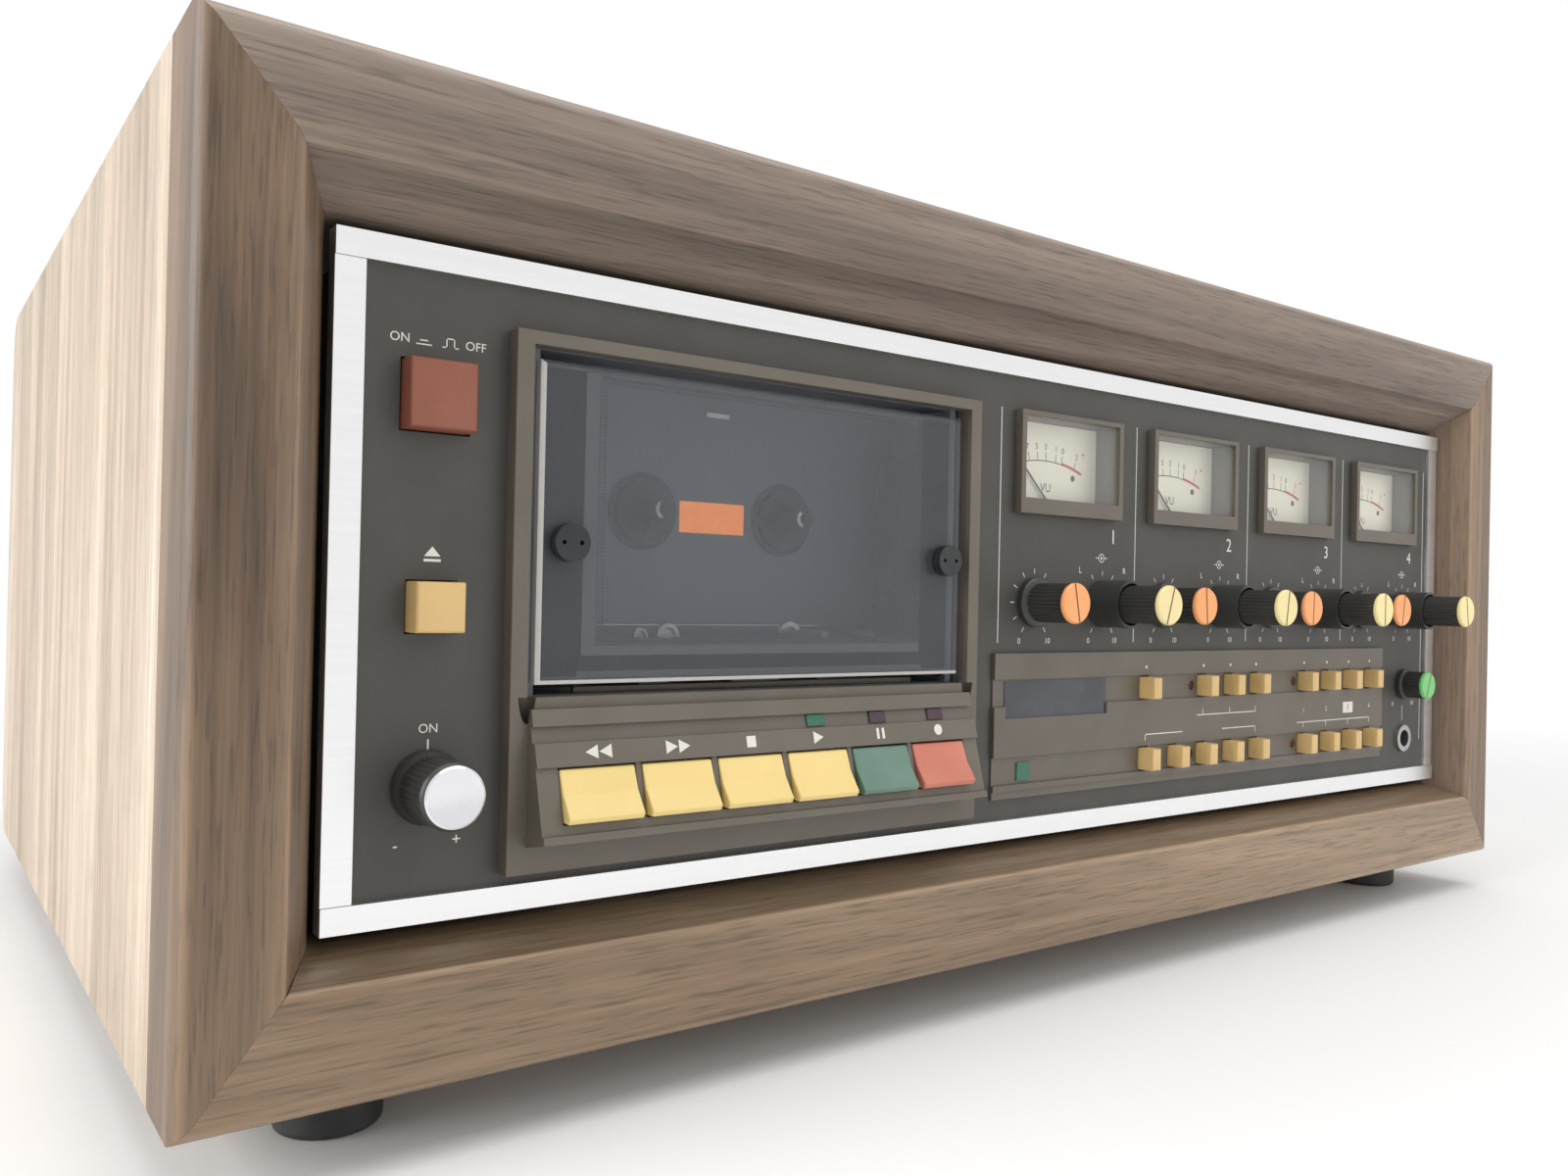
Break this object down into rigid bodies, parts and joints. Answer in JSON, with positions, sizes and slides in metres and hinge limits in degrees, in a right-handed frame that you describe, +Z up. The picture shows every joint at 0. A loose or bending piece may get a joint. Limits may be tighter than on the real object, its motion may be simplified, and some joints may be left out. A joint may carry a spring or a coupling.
{
  "type": "four track cassette recorder",
  "caption": "Desk cassette recorder in a walnut case: tape bay behind a tilting smoked door, wedge of transport keys, needle meters, concentric level knobs and small push buttons.",
  "frame": {"origin": "middle of the underside of the feet, at the centre of the part's bounding box", "axes": "+X to the right seen from the front, +Y from the front towards the back, +Z up; the controls face -Y"},
  "size_m": [0.486, 0.3544, 0.213],
  "materials": {
    "case_boards": "oiled walnut veneer",
    "front_frame": "oiled solid walnut",
    "feet": "matt",
    "chassis": "matt black paint",
    "faceplate": "matt black paint",
    "trim_rails": "satin",
    "transport_bezel": "fine grain",
    "panel_mouldings": "fine grain",
    "windows": "clear and tinted",
    "deck_plate": "satin",
    "electronics": "plated",
    "door_glass": "smoked acrylic",
    "cassette_holder": "satin",
    "supply_reel": "satin",
    "takeup_reel": "satin",
    "head_bridge": "polished head faces",
    "rewind_key": "satin",
    "forward_key": "satin",
    "stop_key": "satin",
    "play_key": "satin",
    "pause_key": "satin",
    "record_key": "satin",
    "power_button": "satin",
    "eject_button": "satin",
    "pitch_sleeve": "turned",
    "pitch_knob": "fluted, polished metal cap",
    "phones_knob": "fluted, green cap",
    "input_knob_1": "fluted, orange cap",
    "pan_ring_1": "satin",
    "output_knob_1": "fluted, cream cap",
    "needle_1": "matt",
    "input_knob_2": "fluted, orange cap",
    "pan_ring_2": "satin",
    "output_knob_2": "fluted, cream cap",
    "needle_2": "matt",
    "input_knob_3": "fluted, orange cap",
    "pan_ring_3": "satin",
    "output_knob_3": "fluted, cream cap",
    "needle_3": "matt",
    "input_knob_4": "fluted, orange cap",
    "pan_ring_4": "satin",
    "output_knob_4": "fluted, cream cap",
    "needle_4": "matt",
    "upper_button_1": "satin",
    "upper_button_2": "satin",
    "upper_button_3": "satin",
    "upper_button_4": "satin",
    "upper_button_5": "satin",
    "upper_button_6": "satin",
    "upper_button_7": "satin",
    "upper_button_8": "satin",
    "lower_button_1": "satin",
    "lower_button_2": "satin",
    "lower_button_3": "satin",
    "lower_button_4": "satin",
    "lower_button_5": "satin",
    "lower_button_6": "satin",
    "lower_button_7": "satin",
    "lower_button_8": "satin",
    "lower_button_9": "satin"
  },
  "bodies": {
    "recorder": {"case_boards": "case_boards", "front_frame": "front_frame", "feet": "feet", "chassis": "chassis", "faceplate": "faceplate", "trim_rails": "trim_rails", "transport_bezel": "transport_bezel", "panel_mouldings": "panel_mouldings", "windows": "windows", "deck_plate": "deck_plate", "electronics": "electronics"},
    "door": {"door_glass": "door_glass", "cassette_holder": "cassette_holder"},
    "supply_reel": {"supply_reel": "supply_reel"},
    "takeup_reel": {"takeup_reel": "takeup_reel"},
    "head_bridge": {"head_bridge": "head_bridge"},
    "rewind_key": {"rewind_key": "rewind_key"},
    "forward_key": {"forward_key": "forward_key"},
    "stop_key": {"stop_key": "stop_key"},
    "play_key": {"play_key": "play_key"},
    "pause_key": {"pause_key": "pause_key"},
    "record_key": {"record_key": "record_key"},
    "power_button": {"power_button": "power_button"},
    "eject_button": {"eject_button": "eject_button"},
    "pitch_sleeve": {"pitch_sleeve": "pitch_sleeve"},
    "pitch_knob": {"pitch_knob": "pitch_knob"},
    "phones_knob": {"phones_knob": "phones_knob"},
    "input_knob_1": {"input_knob_1": "input_knob_1"},
    "pan_ring_1": {"pan_ring_1": "pan_ring_1"},
    "output_knob_1": {"output_knob_1": "output_knob_1"},
    "needle_1": {"needle_1": "needle_1"},
    "input_knob_2": {"input_knob_2": "input_knob_2"},
    "pan_ring_2": {"pan_ring_2": "pan_ring_2"},
    "output_knob_2": {"output_knob_2": "output_knob_2"},
    "needle_2": {"needle_2": "needle_2"},
    "input_knob_3": {"input_knob_3": "input_knob_3"},
    "pan_ring_3": {"pan_ring_3": "pan_ring_3"},
    "output_knob_3": {"output_knob_3": "output_knob_3"},
    "needle_3": {"needle_3": "needle_3"},
    "input_knob_4": {"input_knob_4": "input_knob_4"},
    "pan_ring_4": {"pan_ring_4": "pan_ring_4"},
    "output_knob_4": {"output_knob_4": "output_knob_4"},
    "needle_4": {"needle_4": "needle_4"},
    "upper_button_1": {"upper_button_1": "upper_button_1"},
    "upper_button_2": {"upper_button_2": "upper_button_2"},
    "upper_button_3": {"upper_button_3": "upper_button_3"},
    "upper_button_4": {"upper_button_4": "upper_button_4"},
    "upper_button_5": {"upper_button_5": "upper_button_5"},
    "upper_button_6": {"upper_button_6": "upper_button_6"},
    "upper_button_7": {"upper_button_7": "upper_button_7"},
    "upper_button_8": {"upper_button_8": "upper_button_8"},
    "lower_button_1": {"lower_button_1": "lower_button_1"},
    "lower_button_2": {"lower_button_2": "lower_button_2"},
    "lower_button_3": {"lower_button_3": "lower_button_3"},
    "lower_button_4": {"lower_button_4": "lower_button_4"},
    "lower_button_5": {"lower_button_5": "lower_button_5"},
    "lower_button_6": {"lower_button_6": "lower_button_6"},
    "lower_button_7": {"lower_button_7": "lower_button_7"},
    "lower_button_8": {"lower_button_8": "lower_button_8"},
    "lower_button_9": {"lower_button_9": "lower_button_9"}
  },
  "joints": [
    {"name": "door_tilt", "type": "hinge", "parent": "recorder", "child": "door", "pos_m": [-0.1117, -0.1496, 0.0928], "axis": [1, 0, 0], "range_deg": [0, 20]},
    {"name": "supply_reel_spin", "type": "hinge", "parent": "recorder", "child": "supply_reel", "pos_m": [-0.13295, -0.134, 0.1315], "axis": [0, 1, 0], "continuous": true},
    {"name": "takeup_reel_spin", "type": "hinge", "parent": "recorder", "child": "takeup_reel", "pos_m": [-0.09045, -0.134, 0.1315], "axis": [0, 1, 0], "continuous": true},
    {"name": "head_bridge_rise", "type": "slide", "parent": "recorder", "child": "head_bridge", "axis": [0, 0, 1], "range_m": [0, 0.004]},
    {"name": "rewind_key_press", "type": "slide", "parent": "recorder", "child": "rewind_key", "axis": [0, 1, 0], "range_m": [0, 0.0025], "stiffness_N_per_m": 300},
    {"name": "forward_key_press", "type": "slide", "parent": "recorder", "child": "forward_key", "axis": [0, 1, 0], "range_m": [0, 0.0025], "stiffness_N_per_m": 300},
    {"name": "stop_key_press", "type": "slide", "parent": "recorder", "child": "stop_key", "axis": [0, 1, 0], "range_m": [0, 0.0025], "stiffness_N_per_m": 300},
    {"name": "play_key_press", "type": "slide", "parent": "recorder", "child": "play_key", "axis": [0, 1, 0], "range_m": [0, 0.0025], "stiffness_N_per_m": 300},
    {"name": "pause_key_press", "type": "slide", "parent": "recorder", "child": "pause_key", "axis": [0, 1, 0], "range_m": [0, 0.0025], "stiffness_N_per_m": 300},
    {"name": "record_key_press", "type": "slide", "parent": "recorder", "child": "record_key", "axis": [0, 1, 0], "range_m": [0, 0.0025], "stiffness_N_per_m": 300},
    {"name": "power_button_press", "type": "slide", "parent": "recorder", "child": "power_button", "axis": [0, 1, 0], "range_m": [0, 0.0035], "stiffness_N_per_m": 300},
    {"name": "eject_button_press", "type": "slide", "parent": "recorder", "child": "eject_button", "axis": [0, 1, 0], "range_m": [0, 0.0035], "stiffness_N_per_m": 300},
    {"name": "pitch_pull", "type": "slide", "parent": "recorder", "child": "pitch_sleeve", "axis": [0, -1, 0], "range_m": [0, 0.004]},
    {"name": "pitch_turn", "type": "hinge", "parent": "pitch_sleeve", "child": "pitch_knob", "pos_m": [-0.1952, -0.159, 0.0713], "axis": [0, 1, 0], "range_deg": [-150, 150]},
    {"name": "phones_turn", "type": "hinge", "parent": "recorder", "child": "phones_knob", "pos_m": [0.1943, -0.154, 0.0823], "axis": [0, 1, 0], "range_deg": [-150, 150]},
    {"name": "input_knob_1_turn", "type": "hinge", "parent": "recorder", "child": "input_knob_1", "pos_m": [-0.0173, -0.154, 0.111], "axis": [0, 1, 0], "range_deg": [-150, 150]},
    {"name": "pan_ring_1_turn", "type": "hinge", "parent": "recorder", "child": "pan_ring_1", "pos_m": [0.0128, -0.154, 0.111], "axis": [0, 1, 0], "range_deg": [-150, 150]},
    {"name": "output_knob_1_turn", "type": "hinge", "parent": "recorder", "child": "output_knob_1", "pos_m": [0.0128, -0.154, 0.111], "axis": [0, 1, 0], "range_deg": [-150, 150]},
    {"name": "needle_1_swing", "type": "hinge", "parent": "recorder", "child": "needle_1", "pos_m": [-0.0037, -0.1469, 0.139], "axis": [0, 1, 0], "range_deg": [0, 92], "stiffness_Nm_per_rad": 0.000002},
    {"name": "input_knob_2_turn", "type": "hinge", "parent": "recorder", "child": "input_knob_2", "pos_m": [0.0427, -0.154, 0.111], "axis": [0, 1, 0], "range_deg": [-150, 150]},
    {"name": "pan_ring_2_turn", "type": "hinge", "parent": "recorder", "child": "pan_ring_2", "pos_m": [0.0728, -0.154, 0.111], "axis": [0, 1, 0], "range_deg": [-150, 150]},
    {"name": "output_knob_2_turn", "type": "hinge", "parent": "recorder", "child": "output_knob_2", "pos_m": [0.0728, -0.154, 0.111], "axis": [0, 1, 0], "range_deg": [-150, 150]},
    {"name": "needle_2_swing", "type": "hinge", "parent": "recorder", "child": "needle_2", "pos_m": [0.0563, -0.1469, 0.139], "axis": [0, 1, 0], "range_deg": [0, 92], "stiffness_Nm_per_rad": 0.000002},
    {"name": "input_knob_3_turn", "type": "hinge", "parent": "recorder", "child": "input_knob_3", "pos_m": [0.1027, -0.154, 0.111], "axis": [0, 1, 0], "range_deg": [-150, 150]},
    {"name": "pan_ring_3_turn", "type": "hinge", "parent": "recorder", "child": "pan_ring_3", "pos_m": [0.1328, -0.154, 0.111], "axis": [0, 1, 0], "range_deg": [-150, 150]},
    {"name": "output_knob_3_turn", "type": "hinge", "parent": "recorder", "child": "output_knob_3", "pos_m": [0.1328, -0.154, 0.111], "axis": [0, 1, 0], "range_deg": [-150, 150]},
    {"name": "needle_3_swing", "type": "hinge", "parent": "recorder", "child": "needle_3", "pos_m": [0.1163, -0.1469, 0.139], "axis": [0, 1, 0], "range_deg": [0, 92], "stiffness_Nm_per_rad": 0.000002},
    {"name": "input_knob_4_turn", "type": "hinge", "parent": "recorder", "child": "input_knob_4", "pos_m": [0.1627, -0.154, 0.111], "axis": [0, 1, 0], "range_deg": [-150, 150]},
    {"name": "pan_ring_4_turn", "type": "hinge", "parent": "recorder", "child": "pan_ring_4", "pos_m": [0.1928, -0.154, 0.111], "axis": [0, 1, 0], "range_deg": [-150, 150]},
    {"name": "output_knob_4_turn", "type": "hinge", "parent": "recorder", "child": "output_knob_4", "pos_m": [0.1928, -0.154, 0.111], "axis": [0, 1, 0], "range_deg": [-150, 150]},
    {"name": "needle_4_swing", "type": "hinge", "parent": "recorder", "child": "needle_4", "pos_m": [0.1763, -0.1469, 0.139], "axis": [0, 1, 0], "range_deg": [0, 92], "stiffness_Nm_per_rad": 0.000002},
    {"name": "upper_button_1_press", "type": "slide", "parent": "recorder", "child": "upper_button_1", "axis": [0, 1, 0], "range_m": [0, 0.002], "stiffness_N_per_m": 200},
    {"name": "upper_button_2_press", "type": "slide", "parent": "recorder", "child": "upper_button_2", "axis": [0, 1, 0], "range_m": [0, 0.002], "stiffness_N_per_m": 200},
    {"name": "upper_button_3_press", "type": "slide", "parent": "recorder", "child": "upper_button_3", "axis": [0, 1, 0], "range_m": [0, 0.002], "stiffness_N_per_m": 200},
    {"name": "upper_button_4_press", "type": "slide", "parent": "recorder", "child": "upper_button_4", "axis": [0, 1, 0], "range_m": [0, 0.002], "stiffness_N_per_m": 200},
    {"name": "upper_button_5_press", "type": "slide", "parent": "recorder", "child": "upper_button_5", "axis": [0, 1, 0], "range_m": [0, 0.002], "stiffness_N_per_m": 200},
    {"name": "upper_button_6_press", "type": "slide", "parent": "recorder", "child": "upper_button_6", "axis": [0, 1, 0], "range_m": [0, 0.002], "stiffness_N_per_m": 200},
    {"name": "upper_button_7_press", "type": "slide", "parent": "recorder", "child": "upper_button_7", "axis": [0, 1, 0], "range_m": [0, 0.002], "stiffness_N_per_m": 200},
    {"name": "upper_button_8_press", "type": "slide", "parent": "recorder", "child": "upper_button_8", "axis": [0, 1, 0], "range_m": [0, 0.002], "stiffness_N_per_m": 200},
    {"name": "lower_button_1_press", "type": "slide", "parent": "recorder", "child": "lower_button_1", "axis": [0, 1, 0], "range_m": [0, 0.002], "stiffness_N_per_m": 200},
    {"name": "lower_button_2_press", "type": "slide", "parent": "recorder", "child": "lower_button_2", "axis": [0, 1, 0], "range_m": [0, 0.002], "stiffness_N_per_m": 200},
    {"name": "lower_button_3_press", "type": "slide", "parent": "recorder", "child": "lower_button_3", "axis": [0, 1, 0], "range_m": [0, 0.002], "stiffness_N_per_m": 200},
    {"name": "lower_button_4_press", "type": "slide", "parent": "recorder", "child": "lower_button_4", "axis": [0, 1, 0], "range_m": [0, 0.002], "stiffness_N_per_m": 200},
    {"name": "lower_button_5_press", "type": "slide", "parent": "recorder", "child": "lower_button_5", "axis": [0, 1, 0], "range_m": [0, 0.002], "stiffness_N_per_m": 200},
    {"name": "lower_button_6_press", "type": "slide", "parent": "recorder", "child": "lower_button_6", "axis": [0, 1, 0], "range_m": [0, 0.002], "stiffness_N_per_m": 200},
    {"name": "lower_button_7_press", "type": "slide", "parent": "recorder", "child": "lower_button_7", "axis": [0, 1, 0], "range_m": [0, 0.002], "stiffness_N_per_m": 200},
    {"name": "lower_button_8_press", "type": "slide", "parent": "recorder", "child": "lower_button_8", "axis": [0, 1, 0], "range_m": [0, 0.002], "stiffness_N_per_m": 200},
    {"name": "lower_button_9_press", "type": "slide", "parent": "recorder", "child": "lower_button_9", "axis": [0, 1, 0], "range_m": [0, 0.002], "stiffness_N_per_m": 200}
  ],
  "couplings": [
    {"joint": "head_bridge_rise", "follows": "play_key_press", "ratio": 1.6}
  ]
}
